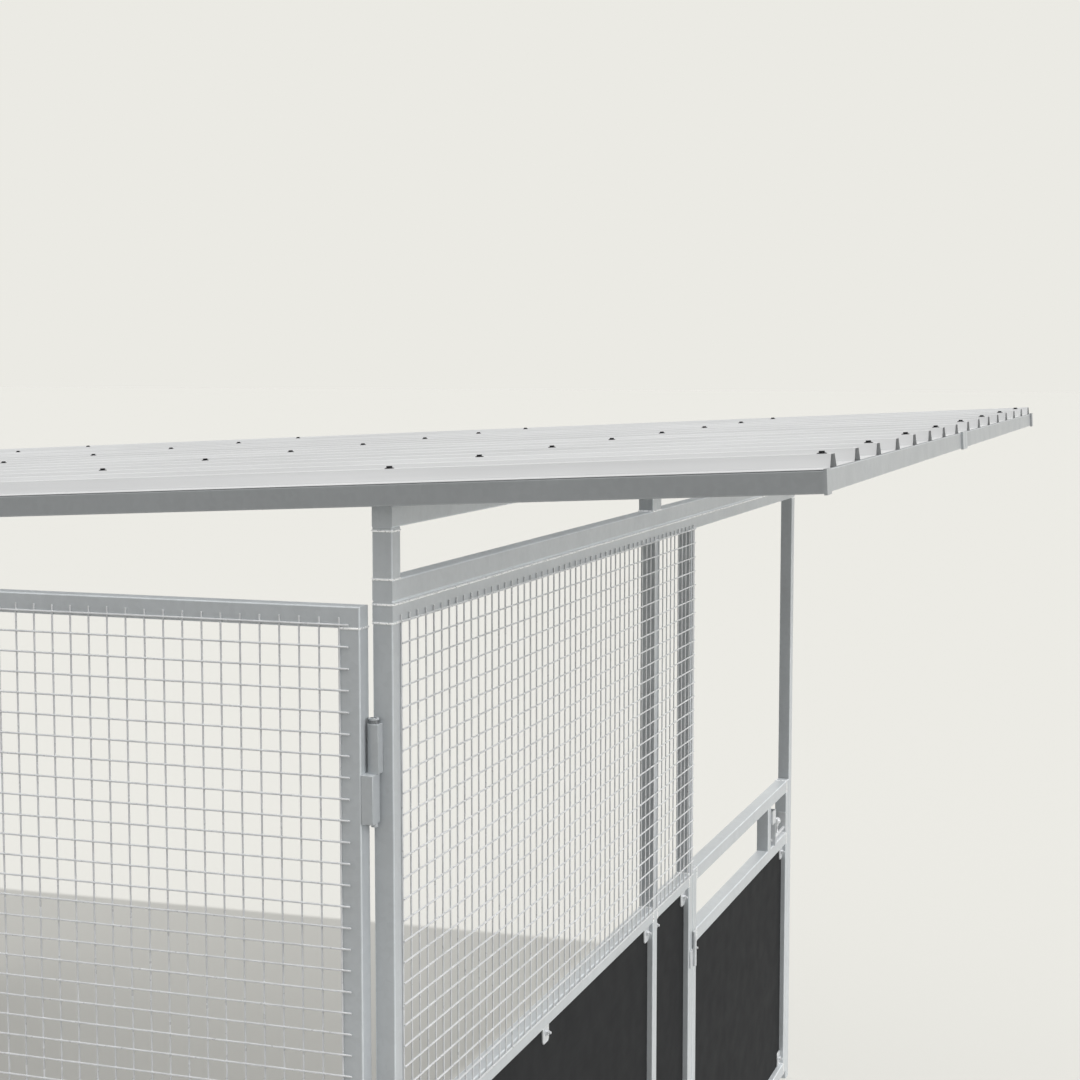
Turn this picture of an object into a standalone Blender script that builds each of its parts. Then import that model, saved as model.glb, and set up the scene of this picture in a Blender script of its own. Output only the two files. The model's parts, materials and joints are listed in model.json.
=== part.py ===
"""A horse stable of welded square steel tube: a front wall with a half-door, a back wall, a side
panel hung as a gate, and a pitched roof of two modules with trapezoid sheet.

Metres, +Z up. The front looks along -Y, the gate is at -X and the side at +X is open. Places are
written in wall coordinates: X runs along the front wall from its outer corner, Y runs back from
the tubes' front faces and Z is the height above the ground. The stable empty moves them all so
that the origin lies in the middle of the footprint, on the ground.
"""

from math import atan, cos, pi, sin

import bmesh
import bpy
from mathutils import Euler, Vector

# Walls
TUBE = 0.050
TUBE_RADIUS = 0.003
GAP = 0.0003
WIDTH = 4.460
DEPTH = 4.460
PANEL_TOP = 2.650
CENTRE_STILE = 2.205
DOOR_STILE = 2.681
MID_RAIL = 1.310
BOTTOM_RAIL = 0.037
BOARD_THICKNESS = 0.010
BOARD_RECESS = 0.020
STUB_HEIGHT = 0.1185
ROOF_BEAM_HEIGHT = 0.050
MODULE_GAP = 0.003

# Wire mesh: the nets here show some of the wires, which lie a pitch apart
PITCH = 0.050
WIRE = 0.004
NET_DEPTH = 0.0067
FREE_END = 0.025
WIRES_PER_BAR = 5
ROWS_PER_BAR = 5
MESH_ROWS = 25
TOP_ROW = 2.600
FRONT_FIRST_WIRE = 0.0455
FRONT_WIRES = 54
BACK_FIRST_WIRE = 0.0300
BACK_WIRES = 89
GATE_FIRST_WIRE = 0.1096
GATE_WIRES = 86

# Roof
ROOF_SLOPE = 0.0495
ROOF_FRONT_Y = -0.995
ROOF_FRONT_Z = 2.971
ROOF_SIDE = 0.065
PURLIN_Y = (0.025, 1.127, 2.227, 3.327)
RIBS_PER_MODULE = 8
RIB_PITCH = 0.2908
RIB_BASE = 0.075
RIB_TOP = 0.042
RIB_HEIGHT = 0.0285
SHEET_THICKNESS = 0.001
DRIP = 0.040
CAP_THICKNESS = 0.006
CAP_LIP = 0.0025
CAP_OVERLAP = 0.001
SHEET_START = 0.0015
SCREW_WASHER = 0.0080
SCREW_FLANGE = 0.0056
SCREW_HEAD = 0.0046
SCREW_HEIGHTS = (0.0016, 0.0024, 0.0062)
SCREW_SIDES = 12

# Half-door
DOOR_GAP = 0.006
DOOR_SECOND_RAIL = 1.081
DOOR_POST = 3.996
DOOR_HINGE_X = 2.734
DOOR_HINGE_Y = -0.0085
DOOR_HINGE_MIDDLES = {"upper": 1.070, "lower": 0.260}
DOOR_HINGE_HEIGHT = 0.126
BARREL_RADIUS = 0.0065
HINGE_PIN_RADIUS = 0.0035
HINGE_BORE_RADIUS = 0.0040
LEAF_THICKNESS = 0.0035
LEAF_REACH = 0.042

# Slide bolts, one on the door and one on the gate
ROD_RADIUS = 0.007
ROD_HOLE_RADIUS = 0.0077
ROD_LENGTH = 0.316
STEM_RADIUS = 0.005
KNOB_RADIUS = 0.014
KNOB_RISE = 0.060
KNOB_FROM_TIP = 0.184
PLATE = 0.005
GUIDE_HEIGHT = 0.090
GUIDE_SPAN = 0.250
STRIP = 0.004
SINK = 0.0005
LATCH_FROM_POST = 0.055
LATCH_FRONT = -0.008
LATCH_REAR = 0.034
LATCH_STEP = 0.009
LATCH_TAB_BOTTOM = 1.233
LATCH_TAB_TOP = 1.290
DOOR_BOLT_Y = 0.012
DOOR_BOLT_Z = 1.153
DOOR_ROD_TIP = 4.401
GATE_BOLT_X = -0.073
GATE_BOLT_Z = 1.329
GATE_ROD_TIP = 4.399

# Gate
GATE_OUT = -0.0505
GATE_IN = -0.0005
GATE_START = 0.0594
GATE_END = 4.4006
GATE_TOP = 2.642
GATE_CENTRE_STILE = 2.205
GATE_PIN_X = -0.0130
GATE_PIN_Y = 0.0425
GATE_PIN_RADIUS = 0.0080
GATE_BORE_RADIUS = 0.0085
LUG_HEIGHT = 0.1135
HINGE_HEIGHTS = {"upper": 2.2568, "lower": 0.4568}
POST_LUG_FRONT = 0.026
POST_LUG_BACK = 0.055
POST_LUG_NOSE = 0.0155
POST_LUG_TURN = 1.02
GATE_LUG_NOSE = 0.0122
GATE_LUG_FRONT = 0.0305
PIN_HEAD_RADIUS = 0.0125
PIN_HEAD_HEIGHT = 0.0130
PIN_TAIL = 0.012
STRIKE_GAP = 0.0015
STRIKE_RIM = 0.010
LATCH_FOOT = 0.0025
LATCH_HEIGHT = 0.033
LATCH_FROM_END = 0.002
ROD_COVER = 0.012

# Smoothness of round forms
ROUND_SIDES = 20
NOSE_STEPS = 6

# Values that follow from the ones above
TILT = atan(ROOF_SLOPE)
TOP_BEAM_TOP = PANEL_TOP + TUBE
ROOF_BEAM_BOTTOM = TOP_BEAM_TOP + STUB_HEIGHT
ROOF_BEAM_TOP = ROOF_BEAM_BOTTOM + ROOF_BEAM_HEIGHT
ROOF_LENGTH = (DEPTH - ROOF_FRONT_Y) / cos(TILT)
SHEET_LENGTH = ROOF_LENGTH + DRIP
MIDDLE = WIDTH / 2
END_STILE = WIDTH - TUBE
BACK = DEPTH - TUBE
DOOR_LEFT = DOOR_STILE + TUBE + DOOR_GAP
DOOR_RIGHT = END_STILE - DOOR_GAP
DOOR_TOP = MID_RAIL + TUBE
BOTTOM_RAIL_TOP = BOTTOM_RAIL + TUBE

GALVANISED = ("galvanised steel", (0.62, 0.65, 0.67), 0.42, 0.75)
ROOF_SHEET = ("coated roof sheet", (0.78, 0.78, 0.77), 0.55, 0.0)
BOARD = ("black board", (0.035, 0.036, 0.040), 0.50, 0.0)
WIRE_STEEL = ("galvanised wire", (0.66, 0.68, 0.70), 0.38, 0.80)
HARDWARE = ("zinc hardware", (0.55, 0.57, 0.59), 0.35, 0.85)


def roof_y(along, up):
    """The Y of a point of the tilted roof, from its place along the slope and its height on it."""
    return ROOF_FRONT_Y + along * cos(TILT) + up * sin(TILT)


def along_roof(y):
    """The place along the slope of the frame's top at this Y."""
    return (y - ROOF_FRONT_Y) / cos(TILT)


# The outermost faces, which set the origin
LOW_X = GATE_BOLT_X - KNOB_RADIUS
HIGH_X = WIDTH + ROOF_SIDE
LOW_Y = roof_y(-CAP_THICKNESS, -TUBE - CAP_LIP)
HIGH_Y = roof_y(SHEET_LENGTH, RIB_HEIGHT + SHEET_THICKNESS)


def collection(name):
    made = bpy.data.collections.new(name)
    bpy.context.scene.collection.children.link(made)
    return made


def empty(name, parent=None, place=(0, 0, 0), tilt=0.0):
    """A frame for pieces, which are placed in it by coordinates that start at its own place."""
    made = bpy.data.objects.new(name, None)
    parts.objects.link(made)
    made.parent = parent
    made.location = place
    made.rotation_euler = (tilt, 0, 0)
    return made


def material_of(finish):
    name, colour, roughness, metallic = finish
    made = bpy.data.materials.get(name) or bpy.data.materials.new(name)
    made.use_nodes = True
    shader = made.node_tree.nodes["Principled BSDF"]
    shader.inputs["Base Color"].default_value = (*colour, 1.0)
    shader.inputs["Roughness"].default_value = roughness
    shader.inputs["Metallic"].default_value = metallic
    return made


def start_of(frame):
    """Where the wall coordinates' own start lies in this frame."""
    return Vector() if frame in (stable, roof) else frame.location


def piece(name, mesh, finish, frame, place):
    """A node: the object of a mesh about its own middle, at this place."""
    made = bpy.data.objects.new(name, mesh)
    parts.objects.link(made)
    made.parent = frame
    made.location = Vector(place) - start_of(frame)
    mesh.materials.append(material_of(finish))
    return made


def cutter(name, mesh, frame, place):
    made = bpy.data.objects.new(name, mesh)
    cutters.objects.link(made)
    made.parent = frame
    made.location = Vector(place) - start_of(frame)
    made.hide_render = True
    made.display_type = "WIRE"
    return made


def mesh_from(name, shape):
    bmesh.ops.recalc_face_normals(shape, faces=shape.faces[:])
    mesh = bpy.data.meshes.new(name)
    shape.to_mesh(mesh)
    shape.free()
    return mesh


def box_mesh(name, size, radius=0.0):
    """A box about its own middle. With a radius, the edges along its longest side are rounded."""
    shape = bmesh.new()
    bmesh.ops.create_cube(shape, size=1.0)
    bmesh.ops.scale(shape, vec=size, verts=shape.verts[:])
    if radius:
        longest = max(range(3), key=lambda side: size[side])
        along = []
        for edge in shape.edges:
            start, end = edge.verts
            if abs(start.co[longest] - end.co[longest]) > size[longest] / 2:
                along.append(edge)
        bmesh.ops.bevel(
            shape, geom=along, offset=radius, segments=2, profile=0.5, affect="EDGES"
        )
    return mesh_from(name, shape)


def round_mesh(name, radius, length, axis, sides=ROUND_SIDES):
    shape = bmesh.new()
    bmesh.ops.create_cone(
        shape, cap_ends=True, segments=sides, radius1=radius, radius2=radius, depth=length
    )
    turn = {"X": Euler((0, pi / 2, 0)), "Y": Euler((pi / 2, 0, 0)), "Z": Euler((0, 0, 0))}[axis]
    bmesh.ops.rotate(shape, verts=shape.verts[:], matrix=turn.to_matrix())
    mesh = mesh_from(name, shape)
    mesh.shade_smooth()
    mesh.set_sharp_from_angle(angle=pi / 4)
    return mesh


def ball_mesh(name, radius):
    shape = bmesh.new()
    bmesh.ops.create_uvsphere(shape, u_segments=16, v_segments=10, radius=radius)
    mesh = mesh_from(name, shape)
    mesh.shade_smooth()
    return mesh


def block(name, low, high, finish, frame, radius=0.0, gap=GAP):
    """A box between two corners, drawn in by half a gap on every side."""
    low, high = Vector(low), Vector(high)
    size = high - low - Vector((gap, gap, gap))
    return piece(name, box_mesh(name, size, radius), finish, frame, (low + high) / 2)


def tube(name, low, high, frame=None):
    return block(name, low, high, GALVANISED, frame or stable, TUBE_RADIUS)


def boolean(target, other, operation):
    step = target.modifiers.new(operation.lower() + " " + other.name, "BOOLEAN")
    step.operation = operation
    step.object = other
    step.solver = "EXACT"


def fuse_block(target, name, low, high, frame):
    low, high = Vector(low), Vector(high)
    other = cutter(name, box_mesh(name, high - low), frame, (low + high) / 2)
    boolean(target, other, "UNION")


def fuse_round(target, name, radius, length, axis, frame, place):
    other = cutter(name, round_mesh(name, radius, length, axis), frame, place)
    boolean(target, other, "UNION")


def drill(target, name, radius, length, axis, frame, place):
    other = cutter(name, round_mesh(name, radius, length, axis), frame, place)
    boolean(target, other, "DIFFERENCE")


def lattice(name, across, up, solid, depth, upright, finish, frame, place, radius=0.0):
    """A flat welded frame or net: cells between the given lines, open where solid says no."""
    columns, rows = len(across) - 1, len(up) - 1
    shape = bmesh.new()
    bmesh.ops.create_grid(shape, x_segments=columns, y_segments=rows, size=0.5)
    open_cells = []
    for face in shape.faces:
        middle = face.calc_center_median()
        if not solid(int((middle.x + 0.5) * columns), int((middle.y + 0.5) * rows)):
            open_cells.append(face)
    for vertex in shape.verts:
        along = across[round((vertex.co.x + 0.5) * columns)]
        height = up[round((vertex.co.y + 0.5) * rows)]
        vertex.co = (0, along, height) if upright == "Y" else (along, 0, height)
    bmesh.ops.delete(shape, geom=open_cells, context="FACES")
    deep = Vector((depth, 0, 0)) if upright == "Y" else Vector((0, depth, 0))
    swept = bmesh.ops.extrude_face_region(shape, geom=shape.faces[:])["geom"]
    moved = [item for item in swept if isinstance(item, bmesh.types.BMVert)]
    bmesh.ops.translate(shape, verts=moved, vec=deep)
    bmesh.ops.translate(shape, verts=shape.verts[:], vec=-deep / 2)
    bmesh.ops.recalc_face_normals(shape, faces=shape.faces[:])
    if radius:
        bmesh.ops.bevel(
            shape,
            geom=long_edges(shape, deep),
            offset=radius,
            segments=2,
            profile=0.5,
            affect="EDGES",
        )
    return piece(name, mesh_from(name, shape), finish, frame, place)


def long_edges(shape, deep):
    """The right-angled edges that run along the tubes of a flat frame, not through its depth."""
    found = []
    for edge in shape.edges:
        start, end = edge.verts
        runs_deep = abs((start.co - end.co).dot(deep)) > deep.length_squared / 2
        if not runs_deep and edge.calc_face_angle(0) > pi / 4:
            found.append(edge)
    return found


def welded_frame(name, across, up, solid, upright, frame, place):
    return lattice(name, across, up, solid, TUBE, upright, GALVANISED, frame, place, TUBE_RADIUS)


def net(name, first, wires, top_row, free_high, free_low, upright, frame, place):
    """Wire mesh with free wire ends above its top row and, where asked, beyond its sides."""
    last = first + (wires - 1) * PITCH
    uprights = [first + index * PITCH for index in range(0, wires - 1, WIRES_PER_BAR)] + [last]
    levels = [top_row - index * PITCH for index in range(0, MESH_ROWS + 1, ROWS_PER_BAR)]
    across = [line + side for line in uprights for side in (-WIRE / 2, WIRE / 2)]
    up = [line + side for line in reversed(levels) for side in (-WIRE / 2, WIRE / 2)]
    up.append(up[-1] + FREE_END)
    if free_low:
        across.insert(0, across[0] - FREE_END)
    if free_high:
        across.append(across[-1] + FREE_END)
    shift = 1 if free_low else 0

    def solid(column, row):
        on_upright = (column - shift) % 2 == 0
        on_level = row % 2 == 0 and row < len(up) - 2
        return on_upright and 0 <= column - shift < 2 * len(uprights) or on_level

    return lattice(
        name, across, up, solid, NET_DEPTH, upright, WIRE_STEEL, frame, place
    )


def make_front_wall():
    across_door = DOOR_STILE + TUBE
    foot = -GAP / 2
    tube("front_top_rail", (0, 0, TOP_ROW), (WIDTH, TUBE, PANEL_TOP))
    tube("front_top_beam", (0, 0, PANEL_TOP), (WIDTH, TUBE, TOP_BEAM_TOP))
    tube("front_corner_stile", (0, 0, foot), (TUBE, TUBE, TOP_ROW))
    tube("front_centre_stile", (CENTRE_STILE, 0, foot), (CENTRE_STILE + TUBE, TUBE, TOP_ROW))
    tube("front_door_stile", (DOOR_STILE, 0, foot), (across_door, TUBE, TOP_ROW))
    end = tube("front_end_stile", (END_STILE, 0, foot), (WIDTH, TUBE, TOP_ROW))
    drill(
        end,
        "door bolt hole",
        ROD_HOLE_RADIUS,
        2 * (TUBE - 2 * TUBE_RADIUS),
        "X",
        stable,
        (END_STILE, DOOR_BOLT_Y, DOOR_BOLT_Z),
    )
    bays = {
        "left": (TUBE, CENTRE_STILE),
        "right": (CENTRE_STILE + TUBE, DOOR_STILE),
    }
    for side, (start, stop) in bays.items():
        tube("front_mid_rail_" + side, (start, 0, MID_RAIL), (stop, TUBE, MID_RAIL + TUBE))
        tube(
            "front_bottom_rail_" + side, (start, 0, BOTTOM_RAIL), (stop, TUBE, BOTTOM_RAIL_TOP)
        )
        block(
            "front_board_" + side,
            (start, BOARD_RECESS, BOTTOM_RAIL_TOP),
            (stop, BOARD_RECESS + BOARD_THICKNESS, MID_RAIL),
            BOARD,
            stable,
        )
    net(
        "front_mesh",
        FRONT_FIRST_WIRE,
        FRONT_WIRES,
        TOP_ROW,
        True,
        False,
        "X",
        stable,
        (0, -GAP - NET_DEPTH / 2, 0),
    )


def make_roof_supports():
    half = MODULE_GAP / 2
    stub_low, stub_high = TOP_BEAM_TOP, ROOF_BEAM_BOTTOM
    tube("stub_corner", (0, 0, stub_low), (TUBE, TUBE, stub_high))
    tube("stub_end", (END_STILE, 0, stub_low), (WIDTH, TUBE, stub_high))
    pair_left = MIDDLE - half - TUBE
    pair = tube("stub_centre", (pair_left, 0, stub_low), (pair_left + TUBE, TUBE, stub_high))
    other_low = Vector((MIDDLE + half, GAP / 2, stub_low + GAP / 2))
    other_high = Vector((MIDDLE + half + TUBE, TUBE - GAP / 2, stub_high - GAP / 2))
    other = cutter(
        "second centre stub",
        box_mesh("second centre stub", other_high - other_low, TUBE_RADIUS),
        stable,
        (other_low + other_high) / 2,
    )
    boolean(pair, other, "UNION")
    fuse_block(
        pair,
        "weld between the centre stubs",
        (MIDDLE - half - TUBE_RADIUS, TUBE / 4, stub_low + 2 * GAP),
        (MIDDLE + half + TUBE_RADIUS, TUBE * 3 / 4, stub_high - 2 * GAP),
        stable,
    )
    for side, start, stop in (("left", 0, MIDDLE - half), ("right", MIDDLE + half, WIDTH)):
        tube("roof_beam_" + side, (start, 0, ROOF_BEAM_BOTTOM), (stop, TUBE, ROOF_BEAM_TOP))


def make_roof_rail(name, left):
    """A side rail of a roof module, with a flat end cap that stands proud at the front."""
    rail = tube(name, (left, 0, -TUBE), (left + TUBE, ROOF_LENGTH, 0), roof)
    fuse_block(
        rail,
        name + " cap",
        (left + GAP / 2, -CAP_THICKNESS, -TUBE - CAP_LIP),
        (left + TUBE - GAP / 2, CAP_OVERLAP, CAP_LIP),
        roof,
    )


def sheet_mesh(name, half_width, ribs):
    """Trapezoid sheet as an open surface, along the slope, about the middle of its width."""
    profile = [(-half_width, 0.0)]
    for rib in ribs:
        profile.append((rib - RIB_BASE / 2, 0.0))
        profile.append((rib - RIB_TOP / 2, RIB_HEIGHT))
        profile.append((rib + RIB_TOP / 2, RIB_HEIGHT))
        profile.append((rib + RIB_BASE / 2, 0.0))
    profile.append((half_width, 0.0))
    shape = bmesh.new()
    points = [shape.verts.new((x, SHEET_START, up)) for x, up in profile]
    edges = [shape.edges.new(pair) for pair in zip(points, points[1:])]
    swept = bmesh.ops.extrude_edge_only(shape, edges=edges)["geom"]
    moved = [item for item in swept if isinstance(item, bmesh.types.BMVert)]
    bmesh.ops.translate(shape, verts=moved, vec=(0, SHEET_LENGTH - SHEET_START, 0))
    mesh = mesh_from(name, shape)
    if mesh.polygons[0].normal.z < 0:
        mesh.flip_normals()
    return mesh


def add_screw(shape, x, along):
    """A roof screw's head with its flange and sealing washer, sunk a little into the rib."""
    washer_top, flange_top, head_top = SCREW_HEIGHTS
    profile = [
        (0.0, SCREW_WASHER, False),
        (washer_top, SCREW_WASHER, False),
        (flange_top, SCREW_FLANGE, False),
        (flange_top, SCREW_HEAD, True),
        (head_top, SCREW_HEAD, True),
    ]
    seat = GAP + RIB_HEIGHT + SHEET_THICKNESS / 2
    rings = []
    for height, reach, six_sided in profile:
        ring = []
        for side in range(SCREW_SIDES):
            turn = 2 * pi * side / SCREW_SIDES
            flat = cos(pi / 6) / cos(turn % (pi / 3) - pi / 6) if six_sided else 1.0
            spot = (x + reach * flat * cos(turn), along + reach * flat * sin(turn), seat + height)
            ring.append(shape.verts.new(spot))
        rings.append(ring)
    for low, high in zip(rings, rings[1:]):
        for side in range(SCREW_SIDES):
            beside = (side + 1) % SCREW_SIDES
            shape.faces.new((low[side], low[beside], high[beside], high[side]))
    shape.faces.new(rings[0])
    shape.faces.new(rings[-1])


def fuse_screws(sheet, side, centre, ribs):
    """Screws through every other rib over each cross rail."""
    rows = [TUBE / 2, *(along_roof(y) for y in PURLIN_Y), ROOF_LENGTH - TUBE / 2]
    shape = bmesh.new()
    for along in rows:
        for rib in ribs[::2]:
            add_screw(shape, rib, along)
    mesh = mesh_from("roof screws " + side, shape)
    boolean(sheet, cutter("roof screws " + side, mesh, roof, (centre, 0, 0)), "UNION")


def make_roof_module(side, left, right, outer, inner):
    """A roof module between two sides: its outer and inner rails, its cross rails and its sheet."""
    make_roof_rail("roof_outer_rail_" + side, outer)
    make_roof_rail("roof_inner_rail_" + side, inner)
    start, stop = left + TUBE, right - TUBE
    tube("roof_front_rail_" + side, (start, 0, -TUBE), (stop, TUBE, 0), roof)
    tube(
        "roof_back_rail_" + side,
        (start, ROOF_LENGTH - TUBE, -TUBE),
        (stop, ROOF_LENGTH, 0),
        roof,
    )
    for number, y in enumerate(PURLIN_Y, 1):
        middle = along_roof(y)
        tube(
            f"roof_purlin_{side}_{number}",
            (start, middle - TUBE / 2, -TUBE),
            (stop, middle + TUBE / 2, 0),
            roof,
        )
    centre = (left + right) / 2
    first = -RIBS_PER_MODULE if side == "left" else 0
    ribs = []
    for index in range(first, first + RIBS_PER_MODULE):
        ribs.append(MIDDLE + (index + 0.5) * RIB_PITCH - centre)
    sheet = piece(
        "roof_sheet_" + side,
        sheet_mesh("roof_sheet_" + side, (right - left - GAP) / 2, ribs),
        ROOF_SHEET,
        roof,
        (centre, 0, GAP + SHEET_THICKNESS / 2),
    )
    thick = sheet.modifiers.new("thickness", "SOLIDIFY")
    thick.thickness = SHEET_THICKNESS
    thick.offset = 0.0
    fuse_screws(sheet, side, centre, ribs)


def make_roof():
    left_edge, right_edge = -ROOF_SIDE, WIDTH + ROOF_SIDE
    left_seam, right_seam = MIDDLE - MODULE_GAP / 2, MIDDLE + MODULE_GAP / 2
    make_roof_module("left", left_edge, left_seam, outer=left_edge, inner=left_seam - TUBE)
    make_roof_module("right", right_seam, right_edge, outer=right_edge - TUBE, inner=right_seam)


def make_back_wall():
    across = [0, TUBE, CENTRE_STILE, CENTRE_STILE + TUBE, END_STILE, WIDTH]
    up = [0, BOTTOM_RAIL, BOTTOM_RAIL_TOP, MID_RAIL, MID_RAIL + TUBE, TOP_ROW, PANEL_TOP]
    rails = (1, 3, 5)

    def solid(column, row):
        return column % 2 == 0 or row in rails

    middle_y = BACK + TUBE / 2
    welded_frame("back_frame", across, up, solid, "X", stable, (0, middle_y, 0))
    board_back = DEPTH - BOARD_RECESS
    bays = {"left": (TUBE, CENTRE_STILE), "right": (CENTRE_STILE + TUBE, END_STILE)}
    for side, (start, stop) in bays.items():
        block(
            "back_board_" + side,
            (start, board_back - BOARD_THICKNESS, BOTTOM_RAIL_TOP),
            (stop, board_back, MID_RAIL),
            BOARD,
            stable,
            gap=2 * GAP,
        )
    net(
        "back_mesh",
        BACK_FIRST_WIRE,
        BACK_WIRES,
        TOP_ROW,
        False,
        False,
        "X",
        stable,
        (0, DEPTH + GAP + NET_DEPTH / 2, 0),
    )


def make_door_hinge(level):
    """A lift-off hinge: a leaf with the pin on the stile, a leaf with the socket on the door."""
    middle = DOOR_HINGE_MIDDLES[level]
    half = DOOR_HINGE_HEIGHT / 2
    leaf_back = -GAP
    leaf_front = leaf_back - LEAF_THICKNESS
    left_edge = DOOR_HINGE_X - LEAF_REACH
    right_edge = DOOR_HINGE_X + LEAF_REACH
    inner = BARREL_RADIUS / 2
    fixed = piece(
        "door_hinge_leaf_" + level,
        round_mesh("fixed barrel", BARREL_RADIUS, half - GAP / 2, "Z"),
        HARDWARE,
        stable,
        (DOOR_HINGE_X, DOOR_HINGE_Y, middle - half / 2 - GAP / 4),
    )
    fuse_block(
        fixed,
        "fixed leaf " + level,
        (left_edge, leaf_front, middle - half),
        (DOOR_HINGE_X - inner, leaf_back, middle - GAP / 2),
        stable,
    )
    fuse_round(
        fixed,
        "hinge pin " + level,
        HINGE_PIN_RADIUS,
        half,
        "Z",
        stable,
        (DOOR_HINGE_X, DOOR_HINGE_Y, middle),
    )
    moving = piece(
        "door_hinge_knuckle_" + level,
        round_mesh("moving barrel", BARREL_RADIUS, half - GAP / 2, "Z"),
        HARDWARE,
        door,
        (DOOR_HINGE_X, DOOR_HINGE_Y, middle + half / 2 + GAP / 4),
    )
    fuse_block(
        moving,
        "moving leaf " + level,
        (DOOR_HINGE_X + inner, leaf_front, middle + GAP / 2),
        (right_edge, leaf_back, middle + half),
        door,
    )
    drill(
        moving,
        "hinge socket " + level,
        HINGE_BORE_RADIUS,
        1.1 * half,
        "Z",
        door,
        (DOOR_HINGE_X, DOOR_HINGE_Y, middle),
    )


def rod_and_knob(name, axis, tip, across, height, frame):
    """A slide bolt: a rod with a ball knob on a stem."""
    middle = tip - ROD_LENGTH / 2
    knob = tip - KNOB_FROM_TIP

    def place(along, z):
        return (along, across, z) if axis == "X" else (across, along, z)

    rod_shape = round_mesh(name, ROD_RADIUS, ROD_LENGTH, axis)
    rod = piece(name, rod_shape, HARDWARE, frame, place(middle, height))
    stem_middle = place(knob, height + KNOB_RISE / 2)
    fuse_round(rod, name + " stem", STEM_RADIUS, KNOB_RISE, "Z", frame, stem_middle)
    ball_shape = ball_mesh(name + " knob", KNOB_RADIUS)
    ball = cutter(name + " knob", ball_shape, frame, place(knob, height + KNOB_RISE))
    boolean(rod, ball, "UNION")


def make_door():
    across = [
        DOOR_LEFT,
        DOOR_LEFT + TUBE,
        DOOR_POST,
        DOOR_POST + TUBE,
        DOOR_RIGHT - TUBE,
        DOOR_RIGHT,
    ]
    up = [
        BOTTOM_RAIL,
        BOTTOM_RAIL_TOP,
        DOOR_SECOND_RAIL,
        DOOR_SECOND_RAIL + TUBE,
        MID_RAIL,
        DOOR_TOP,
    ]
    board_row, slot_row = 1, 3

    def solid(column, row):
        on_stile = column in (0, 4)
        on_post = column == 2 and row == slot_row
        return on_stile or on_post or row not in (board_row, slot_row)

    door_frame = welded_frame("door_frame", across, up, solid, "X", door, (0, TUBE / 2, 0))
    drill(
        door_frame,
        "door stile bolt hole",
        ROD_HOLE_RADIUS,
        TUBE * 1.5,
        "X",
        door,
        (DOOR_RIGHT - TUBE / 2, DOOR_BOLT_Y, DOOR_BOLT_Z),
    )
    block(
        "door_board",
        (DOOR_LEFT + TUBE, BOARD_RECESS, BOTTOM_RAIL_TOP),
        (DOOR_RIGHT - TUBE, BOARD_RECESS + BOARD_THICKNESS, DOOR_SECOND_RAIL),
        BOARD,
        door,
        gap=2 * GAP,
    )
    make_door_latch()
    rod_and_knob("door_bolt", "X", DOOR_ROD_TIP, DOOR_BOLT_Y, DOOR_BOLT_Z, door_slide)


def make_door_latch():
    """The guides of the door's slide bolt: a strip on the second rail with an upright at each end,
    the left one taller, with a tab that laps the short post."""
    foot = DOOR_SECOND_RAIL + TUBE + GAP
    near, far = DOOR_POST + TUBE + LATCH_FROM_POST, DOOR_RIGHT - TUBE - PLATE - GAP
    latch = block(
        "door_latch_body",
        (near, LATCH_FRONT, foot),
        (near + PLATE, LATCH_REAR, LATCH_TAB_TOP),
        HARDWARE,
        door,
        gap=0,
    )
    fuse_block(
        latch,
        "door latch base",
        (near + SINK, LATCH_FRONT + LATCH_STEP + 2 * SINK, foot + SINK),
        (far + PLATE - SINK, LATCH_REAR - SINK, foot + STRIP),
        door,
    )
    fuse_block(
        latch,
        "door latch second guide",
        (far, LATCH_FRONT + LATCH_STEP, foot),
        (far + PLATE, LATCH_REAR, foot + GUIDE_HEIGHT),
        door,
    )
    tab_left = DOOR_POST + TUBE + GAP
    fuse_block(
        latch,
        "door latch tab",
        (tab_left, LATCH_FRONT + SINK, LATCH_TAB_BOTTOM),
        (near + PLATE - SINK, LATCH_FRONT + STRIP, LATCH_TAB_TOP - SINK),
        door,
    )
    fuse_block(
        latch,
        "door latch tab return",
        (tab_left + SINK, LATCH_FRONT + 2 * SINK, LATCH_TAB_BOTTOM + SINK),
        (tab_left + STRIP, LATCH_REAR, LATCH_TAB_TOP - 2 * SINK),
        door,
    )
    drill(
        latch,
        "door latch bore",
        ROD_HOLE_RADIUS,
        1.5 * (far - near),
        "X",
        door,
        ((near + far) / 2, DOOR_BOLT_Y, DOOR_BOLT_Z),
    )


def lug_mesh(name, points, height):
    """An outline in X and Y made a plate of this height, about its own middle height."""
    flat = bpy.data.curves.new(name, "CURVE")
    flat.dimensions = "2D"
    flat.fill_mode = "BOTH"
    flat.extrude = height / 2
    outline = flat.splines.new("POLY")
    outline.points.add(len(points) - 1)
    for point, (x, y) in zip(outline.points, points):
        point.co = (x, y, 0, 1)
    outline.use_cyclic_u = True
    source = bpy.data.objects.new(name, flat)
    parts.objects.link(source)
    graph = bpy.context.evaluated_depsgraph_get()
    mesh = bpy.data.meshes.new_from_object(source.evaluated_get(graph))
    bpy.data.objects.remove(source)
    shape = bmesh.new()
    shape.from_mesh(mesh)
    bmesh.ops.remove_doubles(shape, verts=shape.verts[:], dist=1e-6)
    return mesh_from(name, shape)


def arc(radius, start, stop):
    """Points of an arc about the hinge pin, between two angles."""
    turns = [start + (stop - start) * step / NOSE_STEPS for step in range(NOSE_STEPS + 1)]
    return [(radius * cos(turn), radius * sin(turn)) for turn in turns]


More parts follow.
